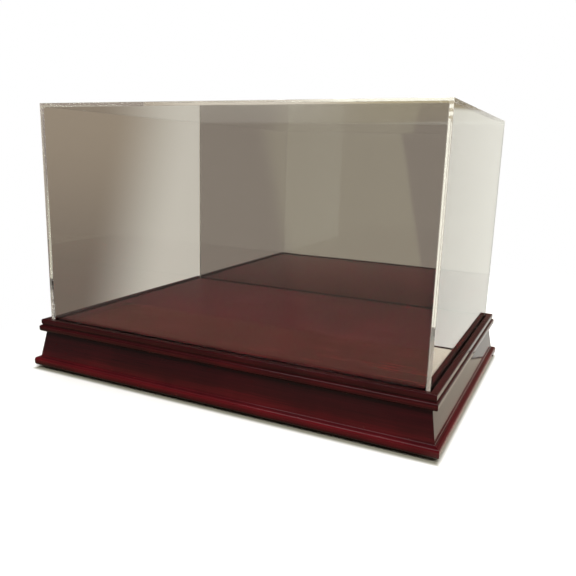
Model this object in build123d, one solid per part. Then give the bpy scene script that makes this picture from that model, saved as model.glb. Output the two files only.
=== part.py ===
"""Football display case: a clear cover with a mirrored back that lifts off a moulded wooden base.

Frame: origin at the centre of the footprint on the surface the case stands on, +X to the viewer's
right, +Y towards the mirrored back, +Z up. Millimetres.
"""

import os

from build123d import *

# ---------------------------------------------------------------- driving dimensions
# Clear cover, measured over its outer faces
COVER_WIDTH = 340.0
COVER_DEPTH = 232.0
COVER_RISE = 185.0  # from the top of the base to the top of the cover
SHEET = 3.0  # thickness of the acrylic sheet
EDGE_BREAK = 0.3  # scraped arris along each sheet's edges
MIRROR_FILM = 0.1  # aluminised film on the back sheet
MIRROR_BACKCOAT = 0.2  # grey protective coat over the film

# Base
FOOT_HEIGHT = 2.5
FOOT_RADIUS = 7.0
RAIL_HEIGHT = 42.0
RAIL_INSIDE = 14.0  # the rail's inner face, measured inwards from the cover's outer face
FLOOR_THICKNESS = 12.0
FLOOR_DROP = 0.5  # the floor's face lies this far below the rails' top
GROOVE_DEPTH = 6.0  # how far the cover's foot stands below the rails' top
GROOVE_CLEARANCE = 0.8  # gap between the cover and each wall of its groove

# Rail moulding: reach is measured outwards from the cover's outer face, drop down from the rail's top
LIP_FLAT_REACH = 4.4
LIP_REACH, LIP_NOSE_DROP = 6.0, 1.9
QUIRK_REACH, QUIRK_DROP = 5.3, 4.4
BEAD_REACH, BEAD_NOSE_DROP = 7.4, 7.6
BEAD_END_REACH, BEAD_END_DROP = 5.0, 10.6
BODY_TOP_REACH, BODY_TOP_DROP = 3.4, 11.4
BODY_FOOT_REACH, BODY_FOOT_DROP = 7.2, 33.0
COVE_REACH, COVE_DROP = 7.7, 34.0
PLINTH_TOP_REACH, PLINTH_TOP_DROP = 8.9, 34.4
PLINTH_REACH, PLINTH_NOSE_DROP = 11.4, 38.0
PLINTH_FOOT_REACH = 8.7

# Corner joints
BLOCK_LEG = 42.0  # legs of the triangular glue blocks
BLOCK_HEIGHT = 22.0
WEDGE_HEIGHT = 10.0  # V nails driven into the mitres from below
WEDGE_LEG = 4.5
WEDGE_STEEL = 0.6
WEDGE_REACHES = (-9.5, 0.5)  # where the nails' points sit, measured as the moulding's reach is

# Screws that hold the floor down to the glue blocks
SCREW_RADIUS = 1.75
SCREW_HEAD_RADIUS = 3.5
SCREW_HEAD_HEIGHT = 2.4
SCREW_LENGTH = 30.0
SCREW_TIP = 4.0
SCREW_INSET = 13.0  # from the block's two legs to the screw
RECESS_WIDTH = 0.9
RECESS_SPAN = 3.6
RECESS_DEPTH = 1.4

# ---------------------------------------------------------------- levels and plan sizes
RAIL_FOOT = FOOT_HEIGHT
BASE_TOP = RAIL_FOOT + RAIL_HEIGHT
FLOOR_TOP = BASE_TOP - FLOOR_DROP
FLOOR_UNDERSIDE = FLOOR_TOP - FLOOR_THICKNESS
COVER_FOOT = BASE_TOP - GROOVE_DEPTH
COVER_TOP = BASE_TOP + COVER_RISE
HALF_WIDTH = COVER_WIDTH / 2
HALF_DEPTH = COVER_DEPTH / 2
CORNERS = {  # side along X, side along Y, and the turn from the back right corner in degrees
    "back_right": (1, 1, 0),
    "back_left": (-1, 1, 90),
    "front_left": (-1, -1, 180),
    "front_right": (1, -1, 270),
}
ON_BASE = (Align.CENTER, Align.CENTER, Align.MIN)


def slab(x_span, y_span, z_span, arris=0.0):
    """A box between three pairs of limits, with its edges broken by a small chamfer."""
    size = [span[1] - span[0] for span in (x_span, y_span, z_span)]
    centre = [(span[1] + span[0]) / 2 for span in (x_span, y_span, z_span)]
    solid = Pos(*centre) * Box(*size)
    if arris:
        solid = chamfer(solid.edges(), arris)
    return solid


# ---------------------------------------------------------------- cover
def cover_panels():
    """Five bonded sheets: the sides run full height and depth, and the others fit between them."""
    inner_x = HALF_WIDTH - SHEET
    full_depth = (-HALF_DEPTH, HALF_DEPTH)
    under_top = (COVER_FOOT, COVER_TOP - SHEET)
    film_front = HALF_DEPTH - MIRROR_BACKCOAT - MIRROR_FILM
    coat_front = HALF_DEPTH - MIRROR_BACKCOAT
    span = (-inner_x, inner_x)
    height = (COVER_FOOT, COVER_TOP)
    return {
        "left_panel": slab((-HALF_WIDTH, -inner_x), full_depth, height, EDGE_BREAK),
        "right_panel": slab((inner_x, HALF_WIDTH), full_depth, height, EDGE_BREAK),
        "top_panel": slab(span, full_depth, (COVER_TOP - SHEET, COVER_TOP), EDGE_BREAK),
        "front_panel": slab(span, (-HALF_DEPTH, SHEET - HALF_DEPTH), under_top, EDGE_BREAK),
        "mirror_panel": slab(span, (film_front - SHEET, film_front), under_top, EDGE_BREAK),
        "mirror_film": slab(span, (film_front, coat_front), under_top),
        "mirror_backcoat": slab(span, (coat_front, HALF_DEPTH), under_top),
    }


# ---------------------------------------------------------------- base rails
def rail_section(setback):
    """The moulding's section on the YZ plane, for a rail whose groove line is setback from the centre."""

    def at(reach, drop):
        return (-setback - reach, BASE_TOP - drop)

    with BuildSketch(Plane.YZ) as section:
        with BuildLine():
            inner_lip = at(GROOVE_CLEARANCE, 0)
            lip_edge = at(LIP_FLAT_REACH, 0)
            quirk = at(QUIRK_REACH, QUIRK_DROP)
            bead_end = at(BEAD_END_REACH, BEAD_END_DROP)
            body_top = at(BODY_TOP_REACH, BODY_TOP_DROP)
            body_foot = at(BODY_FOOT_REACH, BODY_FOOT_DROP)
            plinth_top = at(PLINTH_TOP_REACH, PLINTH_TOP_DROP)
            plinth_foot = at(PLINTH_FOOT_REACH, RAIL_HEIGHT)
            shelf_drop = BASE_TOP - FLOOR_UNDERSIDE
            Line(inner_lip, lip_edge)
            ThreePointArc(lip_edge, at(LIP_REACH, LIP_NOSE_DROP), quirk)
            ThreePointArc(quirk, at(BEAD_REACH, BEAD_NOSE_DROP), bead_end)
            Polyline(bead_end, body_top, body_foot)
            ThreePointArc(body_foot, at(COVE_REACH, COVE_DROP), plinth_top)
            ThreePointArc(plinth_top, at(PLINTH_REACH, PLINTH_NOSE_DROP), plinth_foot)
            Polyline(
                plinth_foot,
                at(-RAIL_INSIDE, RAIL_HEIGHT),
                at(-RAIL_INSIDE, shelf_drop),
                at(GROOVE_CLEARANCE, shelf_drop),
                inner_lip,
            )
        make_face()
    return section.sketch


def mitred_rail(run, setback):
    """One rail along X on the front side, mitred at both ends through the cover's corners."""
    half_length = run / 2 + PLINTH_REACH + 1
    solid = extrude(rail_section(setback), amount=half_length, both=True)
    for side in (-1, 1):
        mitre = Plane(origin=(side * run / 2, -setback, 0), z_dir=(side, 1, 0))
        solid = split(solid, bisect_by=mitre, keep=Keep.BOTTOM)
    return solid


def mitre_wedges():
    """Steel V nails, open towards the outside, straddling every mitre at the rails' underside."""
    block = Box(WEDGE_LEG, WEDGE_LEG, WEDGE_HEIGHT, align=Align.MIN)
    nail = block - Pos(WEDGE_STEEL, WEDGE_STEEL, 0) * block
    nails = []
    for side_x, side_y, turn in CORNERS.values():
        for reach in WEDGE_REACHES:
            x = side_x * (HALF_WIDTH + reach)
            y = side_y * (HALF_DEPTH + reach)
            nails.append(Pos(x, y, RAIL_FOOT) * Rot(0, 0, turn) * nail)
    return nails


def rails(nails):
    """Front and right rails are drawn, and the back and left ones are the same pieces turned round."""
    long_rail = mitred_rail(COVER_WIDTH, HALF_DEPTH)
    short_rail = mitred_rail(COVER_DEPTH, HALF_WIDTH)
    placed = {
        "front_rail": long_rail,
        "right_rail": Rot(0, 0, 90) * short_rail,
        "back_rail": Rot(0, 0, 180) * long_rail,
        "left_rail": Rot(0, 0, 270) * short_rail,
    }
    return {name: rail - nails for name, rail in placed.items()}


# ---------------------------------------------------------------- floor and what carries it
def screw_blank():
    """Countersunk wood screw before its recess is struck, head down, with its head's face at z = 0."""
    shank_end = SCREW_LENGTH - SCREW_TIP
    head = Cone(SCREW_HEAD_RADIUS, SCREW_RADIUS, SCREW_HEAD_HEIGHT, align=ON_BASE)
    shank = Cylinder(SCREW_RADIUS, shank_end, align=ON_BASE)
    tip = Cone(SCREW_RADIUS, 0, SCREW_TIP, align=ON_BASE)
    return head + shank + Pos(0, 0, shank_end) * tip


def cross_recess():
    slot = Box(RECESS_SPAN, RECESS_WIDTH, RECESS_DEPTH, align=ON_BASE)
    return slot + Rot(0, 0, 90) * slot


def corner_block(side_x, side_y):
    """Triangular glue block in a corner of the frame, under the floor."""
    corner_x = side_x * (HALF_WIDTH - RAIL_INSIDE)
    corner_y = side_y * (HALF_DEPTH - RAIL_INSIDE)
    outline = make_face(
        Polyline(
            (corner_x, corner_y),
            (corner_x - side_x * BLOCK_LEG, corner_y),
            (corner_x, corner_y - side_y * BLOCK_LEG),
            close=True,
        )
    )
    return Pos(0, 0, FLOOR_UNDERSIDE - BLOCK_HEIGHT) * extrude(outline, amount=BLOCK_HEIGHT, dir=(0, 0, 1))


def display_floor():
    """Veneered board whose edge is rebated, so that it makes the groove the cover stands in."""
    reach = GROOVE_CLEARANCE
    board = slab(
        (-HALF_WIDTH - reach, HALF_WIDTH + reach),
        (-HALF_DEPTH - reach, HALF_DEPTH + reach),
        (FLOOR_UNDERSIDE, COVER_FOOT),
    )
    inset = SHEET + GROOVE_CLEARANCE
    raised = slab(
        (-HALF_WIDTH + inset, HALF_WIDTH - inset),
        (-HALF_DEPTH + inset, HALF_DEPTH - inset),
        (COVER_FOOT, FLOOR_TOP),
    )
    return board + raised


def foot(side_x, side_y):
    """Round felt pad under the rails' corner."""
    middle = (PLINTH_FOOT_REACH - RAIL_INSIDE) / 2
    pad = Cylinder(FOOT_RADIUS, FOOT_HEIGHT, align=ON_BASE)
    return Pos(side_x * (HALF_WIDTH + middle), side_y * (HALF_DEPTH + middle), 0) * pad


# ---------------------------------------------------------------- assembly
def build():
    nodes = cover_panels()

    nails = mitre_wedges()
    nodes.update(rails(nails))
    nodes["mitre_wedges"] = Compound(children=nails)

    inset = RAIL_INSIDE + SCREW_INSET
    floor = display_floor()
    screws = []
    for name, (side_x, side_y, _) in CORNERS.items():
        place = Pos(side_x * (HALF_WIDTH - inset), side_y * (HALF_DEPTH - inset), FLOOR_UNDERSIDE - BLOCK_HEIGHT)
        hole = place * screw_blank()
        floor -= hole
        screws.append(hole - place * cross_recess())
        nodes[f"corner_block_{name}"] = corner_block(side_x, side_y) - hole
        nodes[f"foot_{name}"] = foot(side_x, side_y)
    nodes["display_floor"] = floor
    nodes["floor_screws"] = Compound(children=screws)
    return nodes


os.makedirs("parts", exist_ok=True)
for node, shape in build().items():
    export_step(shape, f"parts/{node}.step")
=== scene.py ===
import math

import bmesh
import bpy
from mathutils import Matrix, Vector


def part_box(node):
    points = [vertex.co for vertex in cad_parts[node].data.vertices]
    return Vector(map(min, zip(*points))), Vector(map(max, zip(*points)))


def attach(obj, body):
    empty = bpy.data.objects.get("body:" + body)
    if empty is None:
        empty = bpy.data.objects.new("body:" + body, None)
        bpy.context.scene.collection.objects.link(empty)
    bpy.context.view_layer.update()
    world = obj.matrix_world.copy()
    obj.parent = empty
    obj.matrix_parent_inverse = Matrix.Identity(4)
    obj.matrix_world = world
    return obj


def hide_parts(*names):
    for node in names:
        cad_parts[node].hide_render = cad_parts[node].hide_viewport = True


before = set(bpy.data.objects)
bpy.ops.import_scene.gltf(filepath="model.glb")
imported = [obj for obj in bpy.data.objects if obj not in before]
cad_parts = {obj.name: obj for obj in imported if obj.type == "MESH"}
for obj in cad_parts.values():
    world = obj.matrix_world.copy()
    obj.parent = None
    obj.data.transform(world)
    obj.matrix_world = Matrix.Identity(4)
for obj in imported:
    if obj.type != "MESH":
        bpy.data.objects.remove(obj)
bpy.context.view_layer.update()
bpy.ops.object.select_all(action="DESELECT")

# ------------------------------------------------------------------ viewpoint
# The case is seen from its front and right, from just below its top, through a normal lens that
# points a little down, so the upright edges lean slightly inwards towards the foot.
MM = 0.001
camera_place = Vector((248.7, -497.1, 193.4)) * MM
heading = math.radians(25.86)
tilt_down = math.radians(12.32)
camera_roll = math.radians(1.65)
normal_lens = 38.1

camera_data = bpy.data.cameras.new("camera")
camera_data.lens = normal_lens
camera_data.clip_start = 0.01
camera = bpy.data.objects.new("camera", camera_data)
bpy.context.scene.collection.objects.link(camera)
facing = Matrix.Rotation(heading, 4, "Z") @ Matrix.Rotation(math.pi / 2 - tilt_down, 4, "X")
camera.matrix_world = Matrix.Translation(camera_place) @ facing @ Matrix.Rotation(camera_roll, 4, "Z")
bpy.context.scene.camera = camera


# ------------------------------------------------------------------ room
# Plain white to the eye. What the sheets, the mirror and the lacquer pick up is a room: a white wall
# behind the case, a warm grey one to the left, a dim room with a doorway in front, and something
# pale and low to the right.
def linear(hex_colour):
    """An sRGB hex colour as linear RGBA."""
    channels = [int(hex_colour[i : i + 2], 16) / 255 for i in (1, 3, 5)]
    return [c / 12.92 if c <= 0.04045 else ((c + 0.055) / 1.055) ** 2.4 for c in channels] + [1.0]


def fill(node, sockets):
    """Gives a node's sockets their values or links.

    A link comes from a socket, or from a node's first output in use.
    """
    for name, value in sockets.items():
        if isinstance(value, bpy.types.Node):
            value = next(output for output in value.outputs if output.enabled)
        if isinstance(value, bpy.types.NodeSocket):
            node.id_data.links.new(value, node.inputs[name])
        else:
            node.inputs[name].default_value = value


def add(tree, kind, sockets=None, **settings):
    """Adds a node with its settings, values and links."""
    made = tree.nodes.new(kind)
    for name, value in settings.items():
        setattr(made, name, value)
    fill(made, sockets or {})
    return made


def graded(tree, colour, measure, stretches):
    """A colour that turns smoothly into another over each stretch of a measure.

    Each stretch is its start, its end and the colour beyond it.
    """
    for start, end, beyond in stretches:
        part_way = add(
            tree,
            "ShaderNodeMapRange",
            {"Value": measure, "From Min": start, "From Max": end},
            interpolation_type="SMOOTHSTEP",
        )
        sockets = {"Factor": part_way, "A": colour, "B": beyond}
        colour = add(tree, "ShaderNodeMix", sockets, data_type="RGBA")
    return colour


bpy.context.scene.view_settings.view_transform = "Standard"
world = bpy.data.worlds.new("room")
bpy.context.scene.world = world
world.use_nodes = True
sky = world.node_tree
sky.nodes.clear()
towards = add(sky, "ShaderNodeTexCoord").outputs["Generated"]
axes = add(sky, "ShaderNodeSeparateXYZ", {"Vector": towards})
slope = axes.outputs["Z"]  # the sine of how far up a direction points
azimuth = add(sky, "ShaderNodeMath", {0: axes.outputs["X"], 1: axes.outputs["Y"]}, operation="ARCTAN2")

white_brightness = 1.1
wall_lean = -0.22  # how far the walls' edges swing round, in radians, for each unit of slope
band_fall = -0.048  # how fast the white wall's top edge falls away to the right
white_wall = [white_brightness * channel for channel in linear("#fdfcf2")[:3]] + [1.0]
dim_room, doorway, ceiling = linear("#968a84"), linear("#a69b90"), linear("#a7a39c")
grey_wall, grey_foot, lit_end = linear("#998a79"), linear("#70645a"), linear("#d2cbc1")
wall_heads, pale_shelf = linear("#4f463f"), linear("#d6d2c0")
tan_band, above_band = linear("#aa9e80"), linear("#897769")

lean = add(sky, "ShaderNodeMath", {0: slope, 1: wall_lean}, operation="MULTIPLY")
turn = add(sky, "ShaderNodeMath", {0: azimuth, 1: lean}, operation="ADD")
fall = add(sky, "ShaderNodeMath", {0: azimuth, 1: band_fall}, operation="MULTIPLY")
rise = add(sky, "ShaderNodeMath", {0: slope, 1: fall}, operation="ADD")
left_wall = graded(sky, grey_foot, slope, [(-0.24, 0.06, grey_wall)])
above_wall = graded(sky, tan_band, slope, [(0.12, 0.22, above_band)])
tall_white = graded(sky, white_wall, rise, [(0.062, 0.07, above_wall)])
right_side = graded(sky, dim_room, slope, [(-0.03, -0.1, pale_shelf)])


def around(*sectors):
    """Stretches of the way round, from sectors in degrees clockwise from straight behind the case."""
    return [(math.radians(start), math.radians(end), beyond) for start, end, beyond in sectors]


front_and_left = around(
    (-164.7, -164.2, doorway),
    (-153, -151, dim_room),
    (-100, -70, left_wall),
    (-42.5, -35, lit_end),
)
behind_and_right = around(
    (-28, -18, tall_white),
    (16, 34, dim_room),
    (40, 44, right_side),
    (56, 64, dim_room),
)
walls = graded(sky, dim_room, turn, front_and_left)
walls = graded(sky, walls, slope, [(0.1, 0.22, wall_heads)])
walls = graded(sky, walls, turn, behind_and_right)
lit = graded(sky, walls, slope, [(0.6, 0.85, ceiling)])
seen_directly = add(sky, "ShaderNodeLightPath").outputs["Is Camera Ray"]
sockets = {"Factor": seen_directly, "A": lit, "B": (1, 1, 1, 1)}
sky_colour = add(sky, "ShaderNodeMix", sockets, data_type="RGBA")
glow = add(sky, "ShaderNodeBackground", {"Color": sky_colour})
add(sky, "ShaderNodeOutputWorld", {"Surface": glow})

# Light goes to and fro many times inside the clear sheets before it leaves by their edges.
most_bounces = 96
light_paths = bpy.context.scene.cycles
light_paths.max_bounces = most_bounces
light_paths.glossy_bounces = most_bounces
light_paths.transmission_bounces = most_bounces


def softbox(name, place, aim, width, height, watts):
    """A soft rectangular light at a place, turned towards a point, that the eye doesn't see directly."""
    lamp = bpy.data.lights.new(name, "AREA")
    lamp.shape = "RECTANGLE"
    lamp.size = width
    lamp.size_y = height
    lamp.energy = watts
    holder = bpy.data.objects.new(name, lamp)
    holder.location = place
    holder.rotation_mode = "QUATERNION"
    holder.rotation_quaternion = (Vector(aim) - Vector(place)).to_track_quat("-Z", "Y")
    bpy.context.scene.collection.objects.link(holder)
    holder.visible_camera = False
    return holder


softbox("front_softbox", (0.9, -1.1, 1.4), (0, 0, 0.1), 1.0, 0.6, 40)
softbox("ceiling_lamp", (-0.35, -1.0, 1.5), (0, 0, 0), 0.9, 0.5, 4.5)
overhead = softbox("overhead_softbox", (0, 0.5, 1.5), (0, 0, 0), 1.8, 1.4, 30)
overhead.visible_glossy = False

# ------------------------------------------------------------------ table
# A laminate table top, white to the eye and melting into the white round it. In reflections it is
# olive-brown, made pale to the right by painted window light, and ends at a dark strip of painted
# shade for the gap before the white wall.
table_left, table_front, table_right, table_back = -0.31, -0.336, 0.6, 0.7
table_melt = 0.08
gap_start, gap_end, gap_blur = 0.1235, 0.1295, 0.001
base_half_width, base_half_depth = 0.179, 0.127
shade_reach = 0.005

bpy.ops.object.select_all(action="DESELECT")
bpy.ops.mesh.primitive_plane_add(size=1)
table = bpy.context.object
table.name = "table"
for vertex in table.data.vertices:
    vertex.co.x = table_left if vertex.co.x < 0 else table_right
    vertex.co.y = table_front if vertex.co.y < 0 else table_back


def new_material(name):
    """A new material, with its nodes, its surface shader and the place of a point on its piece."""
    made = bpy.data.materials.new(name)
    made.use_nodes = True
    tree = made.node_tree
    place = add(tree, "ShaderNodeTexCoord").outputs["Object"]
    return made, tree, tree.nodes["Principled BSDF"], place


laminate, tree, top, place = new_material("white table laminate, satin")
along_x, along_y, _ = add(tree, "ShaderNodeSeparateXYZ", {"Vector": place}).outputs
seen_directly = add(tree, "ShaderNodeLightPath").outputs["Is Camera Ray"]
part = {}
for name, measure, start, end in (
    ("in_from_left", along_x, table_left, table_left + table_melt),
    ("in_from_right", along_x, table_right, table_right / 2),
    ("in_from_back", along_y, table_back, table_back / 2),
    ("right_of_case", along_x, 0.165, 0.185),
    ("beside_case", along_y, -0.2, -0.125),
    ("before_wall", along_y, gap_end + gap_blur, gap_end),
):
    sockets = {"Value": measure, "From Min": start, "From Max": end}
    part[name] = add(tree, "ShaderNodeMapRange", sockets, interpolation_type="SMOOTHSTEP")

# Painted window light: the colour in reflections turns pale to the right of and beside the case.
sockets = {0: part["right_of_case"], 1: part["beside_case"]}
window_light = add(tree, "ShaderNodeMath", sockets, operation="MULTIPLY")
sockets = {"Factor": window_light, "A": linear("#7a715f"), "B": linear("#d5cfbd")}
reflected = add(tree, "ShaderNodeMix", sockets, data_type="RGBA")
# Painted shade: a near-black strip across the table where it meets the gap before the white wall.
reflected = graded(tree, reflected, along_y, [(gap_start, gap_start + gap_blur, linear("#0c0a08"))])

# Painted shade: the colour the eye sees darkens on a narrow rim of the table round the base.
beyond_base = []
for measure, half in ((along_x, base_half_width), (along_y, base_half_depth)):
    from_middle = add(tree, "ShaderNodeMath", {0: measure}, operation="ABSOLUTE")
    beyond_base.append(add(tree, "ShaderNodeMath", {0: from_middle, 1: half}, operation="SUBTRACT"))
sockets = {0: beyond_base[0], 1: beyond_base[1]}
distance = add(tree, "ShaderNodeMath", sockets, operation="MAXIMUM")
shaded = graded(tree, linear("#8d8b7c"), distance, [(0.0, shade_reach, linear("#f4f4f2"))])
sockets = {"Factor": seen_directly, "A": reflected, "B": shaded}
table_colour = add(tree, "ShaderNodeMix", sockets, data_type="RGBA")
fill(top, {"Base Color": table_colour, "Roughness": 0.55, "IOR": 1.45})

shown = add(tree, "ShaderNodeMath", {0: part["before_wall"], 1: seen_directly}, operation="MAXIMUM")
for name in ("in_from_left", "in_from_right", "in_from_back"):
    shown = add(tree, "ShaderNodeMath", {0: shown, 1: part[name]}, operation="MULTIPLY")
clear_air = add(tree, "ShaderNodeBsdfTransparent")
melted = add(tree, "ShaderNodeMixShader", {0: shown, 1: clear_air, 2: top})
fill(tree.nodes["Material Output"], {"Surface": melted})
table.data.materials.append(laminate)


# ------------------------------------------------------------------ rails
# Four hardwood mouldings make the base: a rounded lip, a bead under a quirk, a flared body and a
# thumb-moulded plinth. They are cut from one run, mitred, glued, stained dark cherry and lacquered.
def bar(name, low, high):
    """A rectangular block between two corners, with its place in its mesh, left in edit mode."""
    bpy.ops.object.select_all(action="DESELECT")
    low, high = Vector(low), Vector(high)
    bpy.ops.mesh.primitive_cube_add(size=1, location=(low + high) / 2, scale=high - low)
    block = bpy.context.object
    block.name = name
    bpy.ops.object.transform_apply(location=True, rotation=True, scale=True)
    bpy.ops.object.mode_set(mode="EDIT")
    return block


def middle_of(element):
    """The middle of a vert, an edge or a face."""
    points = [element.co] if isinstance(element, bmesh.types.BMVert) else [v.co for v in element.verts]
    return sum(points, Vector()) / len(points)


def pick(piece, kind, test):
    """Selects the verts, edges or faces whose middle and self pass the test, and nothing else."""
    bpy.context.tool_settings.mesh_select_mode = [kind == each for each in ("verts", "edges", "faces")]
    cage = bmesh.from_edit_mesh(piece.data)
    for element in [*cage.verts, *cage.edges, *cage.faces]:
        element.select = False
    for element in getattr(cage, kind):
        if test(middle_of(element), element):
            element.select_set(True)
    bmesh.update_edit_mesh(piece.data)


def slice_across(place, normal, **options):
    """Cuts the whole mesh with a plane."""
    bpy.ops.mesh.select_all(action="SELECT")
    bpy.ops.mesh.bisect(plane_co=place, plane_no=normal, **options)


hair = 0.01 * MM  # how closely places have to agree for a vert, an edge or a face to be picked
squarely = 0.9  # how nearly a face has to look one way to be picked by it
rail_low, rail_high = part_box("front_rail")
cover_low, cover_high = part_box("left_panel")
cover_half_width, cover_half_depth = -cover_low.x, cover_high.y
base_top, rail_foot = rail_high.z, rail_low.z
# Millimetres from here on: reach is measured outwards from the cover's side, drop down from the top.
inner_reach, groove_reach, shelf_drop = -14.0, 0.8, 12.5
lip_reach, lip_drop = 6.0, 4.2
quirk_reach, quirk_drop = 5.5, 5.0
bead_reach, bead_drop = 7.4, 10.8
body_reach, flare = 3.4, 3.9
plinth_reach, plinth_drop, rail_drop = 11.4, 34.4, 42.0
rounds = [  # reach, drop, radius and facets of each long edge that is rounded
    (lip_reach, 0, 1.7, 7),
    (lip_reach, lip_drop, 0.6, 4),
    (bead_reach, quirk_drop, 1.9, 8),
    (bead_reach, bead_drop, 2.0, 8),
    (plinth_reach, plinth_drop, 2.5, 10),
    (plinth_reach, rail_drop, 2.7, 8),
    (body_reach + flare, plinth_drop, 1.5, 6),
    (groove_reach, 0, 0.4, 3),
]
mitre_arris = 0.12 * MM
least_mitre_lean = 0.5  # how far a face has to look along the rail to be a mitre


def rail(name, run, setback):
    """A moulded, mitred rail on the front side, as long as the cover's side that it carries."""

    def out(reach):
        return -setback - reach * MM

    def level(drop):
        return base_top - drop * MM

    def push_out(piece, distance, highest, lowest):
        """Extrudes the outer faces that lie between two drops."""
        pick(
            piece,
            "faces",
            lambda c, f: f.normal.y < -squarely
            and c.y < out(0)
            and level(lowest) < c.z < level(highest),
        )
        bpy.ops.mesh.extrude_region_move(TRANSFORM_OT_translate={"value": (0, -distance * MM, 0)})

    past_mitre = run / 2 + (plinth_reach + 1) * MM
    low = (-past_mitre, out(body_reach), rail_foot)
    piece = bar(name, low, (past_mitre, out(inner_reach), level(shelf_drop)))
    slice_across((0, out(groove_reach), 0), (0, 1, 0))
    pick(piece, "faces", lambda c, f: f.normal.z > squarely and c.y < out(groove_reach))
    bpy.ops.mesh.extrude_region_move(TRANSFORM_OT_translate={"value": (0, 0, shelf_drop * MM)})
    for drop in (lip_drop, quirk_drop, bead_drop, plinth_drop):
        slice_across((0, 0, level(drop)), (0, 0, 1))
    pick(piece, "verts", lambda c, v: c.y < out(body_reach) + hair and c.z < level(plinth_drop) + hair)
    bpy.ops.transform.translate(value=(0, -flare * MM, 0))
    push_out(piece, quirk_reach - body_reach, 0, bead_drop)
    push_out(piece, lip_reach - quirk_reach, 0, lip_drop)
    push_out(piece, bead_reach - quirk_reach, quirk_drop, bead_drop)
    push_out(piece, plinth_reach - body_reach - flare, plinth_drop, rail_drop)
    for reach, drop, radius, facets in rounds:
        corner = Vector((0, out(reach), level(drop)))
        pick(piece, "edges", lambda c, e: (Vector((0, c.y, c.z)) - corner).length < hair)
        bpy.ops.mesh.bevel(offset=radius * MM, segments=facets, profile=0.5, affect="EDGES")
    for side in (-1, 1):
        slice_across((side * run / 2, -setback, 0), (side, 1, 0), clear_outer=True, use_fill=True)
    pick(piece, "faces", lambda c, f: abs(f.normal.x) > least_mitre_lean)
    bpy.ops.mesh.region_to_loop()
    bpy.ops.mesh.bevel(offset=mitre_arris, segments=1, affect="EDGES")
    bpy.ops.object.mode_set(mode="OBJECT")
    return piece


def select_only(piece):
    """Makes a piece the only selected one, and the active one."""
    bpy.ops.object.select_all(action="DESELECT")
    piece.select_set(True)
    bpy.context.view_layer.objects.active = piece


def copy_of(piece, name):
    """A copy of a piece, with its own mesh."""
    select_only(piece)
    bpy.ops.object.duplicate()
    bpy.context.object.name = name
    return bpy.context.object


def turn_round(piece, degrees):
    """Turns a piece about the case's upright axis, in its mesh."""
    piece.data.transform(Matrix.Rotation(math.radians(degrees), 4, "Z"))


front_moulding = rail("front_moulding", 2 * cover_half_width, cover_half_depth)
right_moulding = rail("right_moulding", 2 * cover_half_depth, cover_half_width)
back_moulding = copy_of(front_moulding, "back_moulding")
turn_round(back_moulding, 180)
left_moulding = copy_of(right_moulding, "left_moulding")
turn_round(left_moulding, -90)
turn_round(right_moulding, 90)

stain_deep, stain_mid, stain_thin = linear("#190406"), linear("#31080c"), linear("#5c1017")
grain_width, grain_length, cloud_size, ripple_size = 1.4 * MM, 70 * MM, 45 * MM, 6 * MM
wipe_share = 0.55
# Partly real wiping, thin on the rounds and dark in the quirks, and partly painted light and shade: dark
# on the body's top under the bead, brighter down the flared body, brightest on the plinth's top round.
thinness_and_light_at_drop = [  # drop from the rail's top, and how thin the stain is drawn there, wiping and painted light
    (0.0, 0.2),
    (1.9, 0.4),
    (4.6, 0.15),
    (7.6, 0.55),
    (11.2, 0.05),
    (14.0, 0.05),
    (24.0, 0.15),
    (32.0, 0.7),
    (34.2, 0.6),
    (36.6, 1.1),
    (39.5, 0.6),
    (41.5, 0.15),
]


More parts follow.
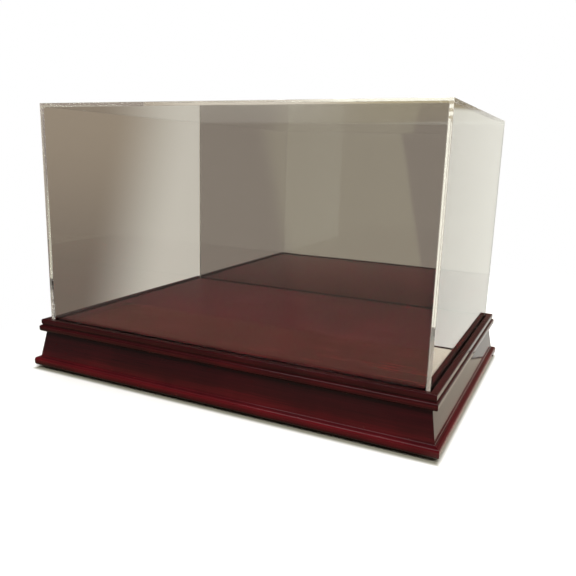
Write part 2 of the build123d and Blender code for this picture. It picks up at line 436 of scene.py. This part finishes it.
def cherry_lacquer(name, lengthwise, brightness=1.0, wiped_and_lit=True, cloudy=0.18):
    """Dark cherry stain wiped over close-grained wood, under a gloss lacquer.

    The grain runs lengthwise, "X" or "Y". Its streaks are drawn coarser than real pores, so that
    they show. On mouldings the stain is wiped thin on the rounds and lies dark in the quirks, and the
    same shading by height also paints light and shade: dark on the body's top under the bead, brighter
    down the flared body and brightest on the plinth's top round. To the eye it is a deep red with faint
    streaks, under a clear and slightly rippled reflection.
    """
    finish, tree, wood, place = new_material(name)
    across, along = 1 / grain_width, 1 / grain_length
    fibre_scale = (along, across, across) if lengthwise == "X" else (across, along, across)
    fibre_place = add(tree, "ShaderNodeMapping", {"Vector": place, "Scale": fibre_scale})
    sockets = {"Vector": fibre_place, "Scale": 1.0, "Detail": 5.0, "Roughness": 0.6, "Distortion": 0.4}
    fibres = add(tree, "ShaderNodeTexNoise", sockets)
    cloud = add(tree, "ShaderNodeTexNoise", {"Vector": place, "Scale": 1 / cloud_size, "Detail": 3.0})
    sockets = {"Value": fibres, "From Min": 0.35, "From Max": 0.7, "To Min": 0.33, "To Max": 0.67}
    fibre_tone = add(tree, "ShaderNodeMapRange", sockets)
    sockets = {"Value": cloud, "From Min": 0.3, "From Max": 0.7, "To Min": -cloudy, "To Max": cloudy}
    cloud_tone = add(tree, "ShaderNodeMapRange", sockets)
    thinness_and_light = add(tree, "ShaderNodeMath", {0: fibre_tone, 1: cloud_tone}, operation="ADD")
    # The ramp by drop adds the wiping together with painted light and shade along the moulding.
    if wiped_and_lit:
        height = add(tree, "ShaderNodeSeparateXYZ", {"Vector": place}).outputs["Z"]
        sockets = {"Value": height, "From Min": base_top, "From Max": rail_foot}
        drop = add(tree, "ShaderNodeMapRange", sockets)
        wipe_and_light = add(tree, "ShaderNodeValToRGB", {"Fac": drop})
        stops = wipe_and_light.color_ramp.elements
        stops.remove(stops[1])
        for at_drop, thin in thinness_and_light_at_drop:
            stop = stops.new(at_drop * MM / (base_top - rail_foot))
            stop.color = (thin, thin, thin, 1)
        stops.remove(stops[0])
        thinness_and_light = add(tree, "ShaderNodeMath", {0: thinness_and_light, 1: wipe_and_light}, operation="ADD")
        thinness_and_light = add(tree, "ShaderNodeMath", {0: thinness_and_light, 1: wipe_share}, operation="MULTIPLY")

    def brightened(stain):
        return [channel * brightness for channel in stain[:3]] + [1]

    colour = brightened(stain_deep)
    for start, end, thinner in ((0.1, 0.5, stain_mid), (0.5, 1.0, stain_thin)):
        part_way = add(tree, "ShaderNodeMapRange", {"Value": thinness_and_light, "From Min": start, "From Max": end})
        sockets = {"Factor": part_way, "A": colour, "B": brightened(thinner)}
        colour = add(tree, "ShaderNodeMix", sockets, data_type="RGBA")
    roughness = add(tree, "ShaderNodeMapRange", {"Value": cloud, "To Min": 0.38, "To Max": 0.55})
    ripple = add(tree, "ShaderNodeTexNoise", {"Vector": place, "Scale": 1 / ripple_size, "Detail": 2.0})
    skin = add(tree, "ShaderNodeBump", {"Height": ripple, "Strength": 0.12, "Distance": 0.25 * MM})
    sockets = {"Height": fibres, "Strength": 0.25, "Distance": 0.05 * MM, "Normal": skin}
    open_grain = add(tree, "ShaderNodeBump", sockets)
    fill(wood, {"Base Color": colour, "Roughness": roughness, "Normal": open_grain})
    fill(wood, {"Specular IOR Level": 0.0, "Coat Weight": 0.8, "Coat Roughness": 0.12})
    fill(wood, {"Coat IOR": 1.36, "Coat Normal": skin})
    return finish


def ease(piece):
    """Shades a piece smoothly over its rounds, and keeps its flats flat."""
    select_only(piece)
    bpy.ops.object.shade_smooth_by_angle(angle=math.radians(35))
    bpy.ops.object.modifier_add(type="WEIGHTED_NORMAL")
    piece.modifiers[-1].keep_sharp = True
    bpy.ops.object.modifier_apply(modifier=piece.modifiers[-1].name)


lacquer_x = cherry_lacquer("cherry lacquer, grain along the width", "X")
lacquer_y = cherry_lacquer("cherry lacquer, grain along the depth", "Y")
for piece, node, finish in (
    (front_moulding, "front_rail", lacquer_x),
    (right_moulding, "right_rail", lacquer_y),
    (back_moulding, "back_rail", lacquer_x),
    (left_moulding, "left_rail", lacquer_y),
):
    ease(piece)
    piece.data.materials.append(finish)
    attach(piece, "base")
    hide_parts(node)

# ------------------------------------------------------------------ display floor
# A fibreboard panel, veneered and lacquered on top, with its edge routed down all round and painted
# near black as painted shade. Glued into the rails' rebate, it leaves the groove that the cover stands in.
floor_low, floor_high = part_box("display_floor")
groove_floor = cover_low.z
routed_width = 4.6 * MM
floor_arris = 1.5 * MM
nap_size, fuzz_size = 1.2 * MM, 0.8 * MM

floor = bar("floor_panel", floor_low, (floor_high.x, floor_high.y, groove_floor))
pick(floor, "faces", lambda c, f: f.normal.z > squarely)
bpy.ops.mesh.inset(thickness=routed_width)
pick(floor, "faces", lambda c, f: f.normal.z > squarely and c.xy.length < hair)
raise_by = (0, 0, floor_high.z - groove_floor)
bpy.ops.mesh.extrude_region_move(TRANSFORM_OT_translate={"value": raise_by})
pick(floor, "edges", lambda c, e: all(v.co.z > floor_high.z - hair for v in e.verts))
bpy.ops.mesh.bevel(offset=floor_arris, segments=3, affect="EDGES")

veneer = cherry_lacquer(
    "cherry veneer under gloss lacquer", "X", brightness=2.6, wiped_and_lit=False, cloudy=0.06
)

# Sawn and left bare: a flat tan with a woolly nap.
fibreboard, tree, board, place = new_material("raw fibreboard, sawn")
fluff = add(tree, "ShaderNodeTexNoise", {"Vector": place, "Scale": 1 / nap_size, "Detail": 6.0})
sockets = {"Factor": fluff, "A": linear("#8f6a45"), "B": linear("#c29b6c")}
tan = add(tree, "ShaderNodeMix", sockets, data_type="RGBA")
nap = add(tree, "ShaderNodeBump", {"Height": fluff, "Strength": 0.4, "Distance": 0.1 * MM})
fill(board, {"Base Color": tan, "Normal": nap, "Roughness": 0.85})

# Painted shade: the routed board is drawn a matt black-brown for the shadow down in the groove, and it
# reads as a dark line.
groove_shade_finish, tree, painted_groove, place = new_material("routed groove, near-black painted shade")
torn = add(tree, "ShaderNodeTexNoise", {"Vector": place, "Scale": 1 / fuzz_size, "Detail": 4.0})
sockets = {"Factor": torn, "A": linear("#050201"), "B": linear("#110705")}
groove_shade_colour = add(tree, "ShaderNodeMix", sockets, data_type="RGBA")
torn_nap = add(tree, "ShaderNodeBump", {"Height": torn, "Strength": 0.4, "Distance": 0.1 * MM})
fill(painted_groove, {"Base Color": groove_shade_colour, "Normal": torn_nap})
fill(painted_groove, {"Roughness": 0.8, "Specular IOR Level": 0.2})


def assign(piece, slot, test):
    """Gives the faces that pass the test one of the piece's materials."""
    pick(piece, "faces", test)
    piece.active_material_index = slot
    bpy.ops.object.material_slot_assign()


for finish in (veneer, fibreboard, groove_shade_finish):
    floor.data.materials.append(finish)
assign(floor, 1, lambda c, f: f.normal.z < -squarely)
# The groove's walls, floor and arris get the painted shade.
assign(floor, 2, lambda c, f: f.normal.z > -squarely and c.z < floor_high.z - hair)
bpy.ops.object.mode_set(mode="OBJECT")
ease(floor)
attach(floor, "base")
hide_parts("display_floor")

# ------------------------------------------------------------------ glue blocks
# Sawn pine triangles glued and screwed into the base's inside corners. Left bare: pale and matt,
# with darker growth rings lengthwise and the saw's fine marks across them.
ring_length, ring_width, saw_pitch = 60 * MM, 3 * MM, 6 * MM
pine, tree, softwood, place = new_material("sawn pine")
ring_scale = (1 / ring_length, 1 / ring_width, 1 / ring_width)
ring_place = add(tree, "ShaderNodeMapping", {"Vector": place, "Scale": ring_scale})
sockets = {"Vector": ring_place, "Scale": 0.5, "Distortion": 3.0, "Detail": 3.0}
rings = add(tree, "ShaderNodeTexWave", sockets, bands_direction="Y").outputs["Fac"]
sockets = {"Factor": rings, "A": linear("#d8b37c"), "B": linear("#b98a52")}
flesh = add(tree, "ShaderNodeMix", sockets, data_type="RGBA")
sockets = {"Vector": place, "Scale": 1 / saw_pitch, "Distortion": 1.5, "Detail": 2.0}
saw_marks = add(tree, "ShaderNodeTexWave", sockets, bands_direction="X").outputs["Fac"]
sawn = add(tree, "ShaderNodeBump", {"Height": saw_marks, "Strength": 0.35, "Distance": 0.15 * MM})
fill(softwood, {"Base Color": flesh, "Normal": sawn, "Roughness": 0.75})
for node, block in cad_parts.items():
    if node.startswith("corner_block"):
        block.data.materials.clear()
        block.data.materials.append(pine)

# ------------------------------------------------------------------ screws and V nails
# Zinc-plated steel, tumbled in a plating bath: a pale, slightly yellow metal with a fine cloudy
# bloom that dulls it in patches.
bloom_size = 1.5 * MM
zinc, tree, plate, place = new_material("zinc-plated steel")
bloom = add(tree, "ShaderNodeTexNoise", {"Vector": place, "Scale": 1 / bloom_size, "Detail": 3.0})
sockets = {"Factor": bloom, "A": linear("#c9c2a4"), "B": linear("#dcdcd8")}
bloom_colour = add(tree, "ShaderNodeMix", sockets, data_type="RGBA")
bloom_dullness = add(tree, "ShaderNodeMapRange", {"Value": bloom, "To Min": 0.22, "To Max": 0.42})
fill(plate, {"Base Color": bloom_colour, "Roughness": bloom_dullness, "Metallic": 1.0})
for node in ("floor_screws", "mitre_wedges"):
    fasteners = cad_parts[node]
    fasteners.data.materials.clear()
    fasteners.data.materials.append(zinc)

# ------------------------------------------------------------------ felt pads
# Punched discs of pressed black wool felt, stuck under the base's corners. Their edges swell a
# little under the punch.
pad_low, pad_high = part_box("foot_front_left")
pad_radius = (pad_high.x - pad_low.x) / 2
pad_height = pad_high.z - pad_low.z
pad_centre = (pad_low + pad_high) / 2
pad_swell, pad_round, rim_facets = 0.2 * MM, 0.35 * MM, 64
longest_rim_edge = 1.5 * MM
fluff_size = 0.4 * MM

bpy.ops.object.select_all(action="DESELECT")
bpy.ops.mesh.primitive_cylinder_add(
    vertices=rim_facets, radius=pad_radius - pad_swell, depth=pad_height, location=pad_centre
)
pad = bpy.context.object
pad.name = "felt_pad_front_left"
bpy.ops.object.transform_apply(location=True, rotation=True, scale=True)
bpy.ops.object.mode_set(mode="EDIT")
slice_across(pad_centre, (0, 0, 1))
pick(pad, "verts", lambda c, v: abs(c.z - pad_centre.z) < hair)
widened = pad_radius / (pad_radius - pad_swell)
bpy.ops.transform.resize(value=(widened, widened, 1), center_override=pad_centre)


def on_rim(c, edge):
    """Whether an edge runs round the pad's top or bottom."""
    return edge.calc_length() < longest_rim_edge and abs(c.z - pad_centre.z) > pad_height / 2 - hair


pick(pad, "edges", on_rim)
bpy.ops.mesh.bevel(offset=pad_round, segments=3, affect="EDGES")
bpy.ops.object.mode_set(mode="OBJECT")
bpy.ops.object.shade_smooth_by_angle(angle=math.radians(50))

# Wool fibres are far too fine to show, so the fluff is drawn coarser. It makes the felt quite matt,
# with a faint pale sheen at a low angle.
felt, tree, wool, place = new_material("pressed wool felt, black")
fluff = add(tree, "ShaderNodeTexNoise", {"Vector": place, "Scale": 1 / fluff_size, "Detail": 4.0})
sockets = {"Factor": fluff, "A": linear("#0f0e0d"), "B": linear("#3a3733")}
fluff_colour = add(tree, "ShaderNodeMix", sockets, data_type="RGBA")
hairs = add(tree, "ShaderNodeBump", {"Height": fluff, "Strength": 0.8, "Distance": 0.2 * MM})
fill(wool, {"Base Color": fluff_colour, "Normal": hairs, "Roughness": 1.0})
fill(wool, {"Sheen Weight": 0.4, "Sheen Roughness": 0.6})
pad.data.materials.append(felt)

pads = {"foot_front_left": pad}
for corner in ("front_right", "back_left", "back_right"):
    there_low, there_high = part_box(f"foot_{corner}")
    other = copy_of(pad, f"felt_pad_{corner}")
    other.data.transform(Matrix.Translation((there_low + there_high) / 2 - pad_centre))
    pads[f"foot_{corner}"] = other
for node, piece in pads.items():
    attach(piece, "base")
    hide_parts(node)

# ------------------------------------------------------------------ clear sheets
# Five pieces of 3 mm cast acrylic, sawn to size, their edges scraped and their arrises broken, then
# joined with solvent. The sides run full height and depth, and the rest stand between them.
sheet_arris = 0.25 * MM
joint_gap = 0.05 * MM
acrylic_ior = 1.49
smear_size, bubble_spacing = 35 * MM, 1.2 * MM

# Glass-clear, with faint smears left by wiping.
acrylic, tree, clear, place = new_material("cast acrylic sheet, clear")
smear = add(tree, "ShaderNodeTexNoise", {"Vector": place, "Scale": 1 / smear_size, "Detail": 4.0})
sockets = {"Value": smear, "From Min": 0.45, "From Max": 0.75, "To Min": 0.0, "To Max": 0.004}
smears = add(tree, "ShaderNodeMapRange", sockets)
fill(clear, {"Base Color": linear("#fcfdfb"), "Transmission Weight": 1.0})
fill(clear, {"IOR": acrylic_ior, "Roughness": smears})

# A scraped edge is a little hazy, with chatter marks. A polished one is clear, with fine lines along
# it. Both glow with the light that the sheet carries to them.
edge_finishes = {}
for finish_name, clarity, most_haze, marks, mark_depth in (
    ("acrylic edge, scraped", 0.8, 0.06, (4.0, 4.0, 4.0), 0.002),
    ("acrylic edge, polished", 0.95, 0.02, (90.0, 90.0, 1.1), 0.008),
):
    edge_finish, tree, cut, place = new_material(finish_name)
    marks_scale = [1 / (size * MM) for size in marks]
    marks_place = add(tree, "ShaderNodeMapping", {"Vector": place, "Scale": marks_scale})
    chatter = add(tree, "ShaderNodeTexNoise", {"Vector": marks_place, "Scale": 1.0, "Detail": 3.0})
    haze = add(tree, "ShaderNodeMapRange", {"Value": chatter, "To Min": 0.0, "To Max": most_haze})
    ridges = add(tree, "ShaderNodeBump", {"Height": chatter, "Distance": mark_depth * MM})
    fill(cut, {"Base Color": linear("#fffdf4"), "Roughness": haze, "Normal": ridges})
    fill(cut, {"Transmission Weight": clarity, "IOR": acrylic_ior})
    edge_finishes[finish_name] = edge_finish

# A solvent joint is as clear as the sheets but for a few tiny trapped bubbles, so light passes from
# sheet to sheet.
weld, tree, joint, place = new_material("solvent-welded acrylic joint, clear")
trapped = add(tree, "ShaderNodeTexNoise", {"Vector": place, "Scale": 1 / bubble_spacing, "Detail": 1.0})
bubbles = add(tree, "ShaderNodeMapRange", {"Value": trapped, "From Min": 0.7, "From Max": 0.75})
fill(joint, {"Base Color": linear("#f2f2ee"), "Roughness": 0.3, "Alpha": bubbles})

cover_outside = Vector((cover_half_width, cover_half_depth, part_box("top_panel")[1].z))
cover_foot = cover_low.z
sheet_thickness = cover_high.x - cover_low.x
shortest_foot_edge = 10 * MM
least_face_on = 0.95  # how squarely a face looks out of its sheet, short of being an edge's


def depth_in(point):
    """How far a point lies inside the cover's sides, front or back, and top."""
    return cover_outside - Vector((abs(point.x), abs(point.y), point.z))


def open_edge(c, edge):
    """Whether an edge of a sheet is bare on the finished cover."""
    at_foot = c.z < cover_foot + hair
    on_outside = sum(depth < hair for depth in depth_in(c)) + at_foot
    return on_outside > 1 or (at_foot and edge.calc_length() > shortest_foot_edge)


def welded_face(c, face):
    """Whether a face of a sheet is joined to another sheet."""
    across = max(range(3), key=lambda axis: abs(face.normal[axis]))
    depths = depth_in(c)
    buried = depths[across] > sheet_thickness / 2 and c.z > cover_foot + hair
    return buried and any(depths[axis] < sheet_thickness for axis in range(3) if axis != across)


def sheet(name, node, low, high, edge_name):
    """A sheet between two corners, with broken arrises, clear faces, finished edges and welded joints."""
    piece = bar(name, low, high)
    size = high - low
    thin = min(range(3), key=lambda axis: size[axis])
    pick(piece, "edges", open_edge)
    bpy.ops.mesh.bevel(offset=sheet_arris, segments=2, affect="EDGES")
    joint_line = cover_outside - Vector([sheet_thickness] * 3)
    slice_across((0, joint_line.y, 0), (0, 1, 0))
    slice_across((0, -joint_line.y, 0), (0, 1, 0))
    slice_across((0, 0, joint_line.z), (0, 0, 1))
    for finish in (acrylic, edge_finishes[edge_name], weld):
        piece.data.materials.append(finish)
    assign(piece, 1, lambda c, f: abs(f.normal[thin]) < least_face_on)
    assign(piece, 2, welded_face)
    bpy.ops.object.mode_set(mode="OBJECT")
    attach(piece, "cover")
    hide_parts(node)


inward, under, forward = Vector((joint_gap, 0, 0)), Vector((0, 0, joint_gap)), Vector((0, joint_gap, 0))
for name, node, edge_name, from_low, from_high in (
    ("left_sheet", "left_panel", "acrylic edge, scraped", Vector(), Vector()),
    ("right_sheet", "right_panel", "acrylic edge, scraped", Vector(), Vector()),
    ("top_sheet", "top_panel", "acrylic edge, polished", inward, inward),
    ("front_sheet", "front_panel", "acrylic edge, polished", inward, inward + under),
    ("mirror_sheet", "mirror_panel", "acrylic edge, polished", inward, inward + under + forward),
):
    low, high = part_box(node)
    sheet(name, node, low + from_low, high - from_high, edge_name)

# ------------------------------------------------------------------ mirror film and its back coat
# The back sheet is mirror acrylic: aluminium evaporated on its rear face, then a grey protective
# coat rolled over it.
sag_size, sag_depth, stipple_size = 110 * MM, 0.5 * MM, 2.5 * MM

# The plastic is never quite flat, so what the film reflects bends a little.
silver, tree, metal, place = new_material("aluminised mirror film")
sag = add(tree, "ShaderNodeTexNoise", {"Vector": place, "Scale": 1 / sag_size, "Detail": 1.0})
bend = add(tree, "ShaderNodeBump", {"Height": sag, "Strength": 0.35, "Distance": sag_depth})
fill(metal, {"Base Color": linear("#e4e3df"), "Metallic": 1.0, "Roughness": 0.02, "Normal": bend})

# A dull mid grey, with the roller's fine stipple.
coat_paint, tree, grey_coat, place = new_material("grey protective back coat")
roller = add(tree, "ShaderNodeTexNoise", {"Vector": place, "Scale": 1 / stipple_size, "Detail": 4.0})
sockets = {"Factor": roller, "A": linear("#666a6d"), "B": linear("#7b7f82")}
coat_colour = add(tree, "ShaderNodeMix", sockets, data_type="RGBA")
stipple = add(tree, "ShaderNodeBump", {"Height": roller, "Strength": 0.3, "Distance": 0.05 * MM})
fill(grey_coat, {"Base Color": coat_colour, "Normal": stipple, "Roughness": 0.5})
for node, finish in (("mirror_film", silver), ("mirror_backcoat", coat_paint)):
    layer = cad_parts[node]
    layer.data.materials.clear()
    layer.data.materials.append(finish)
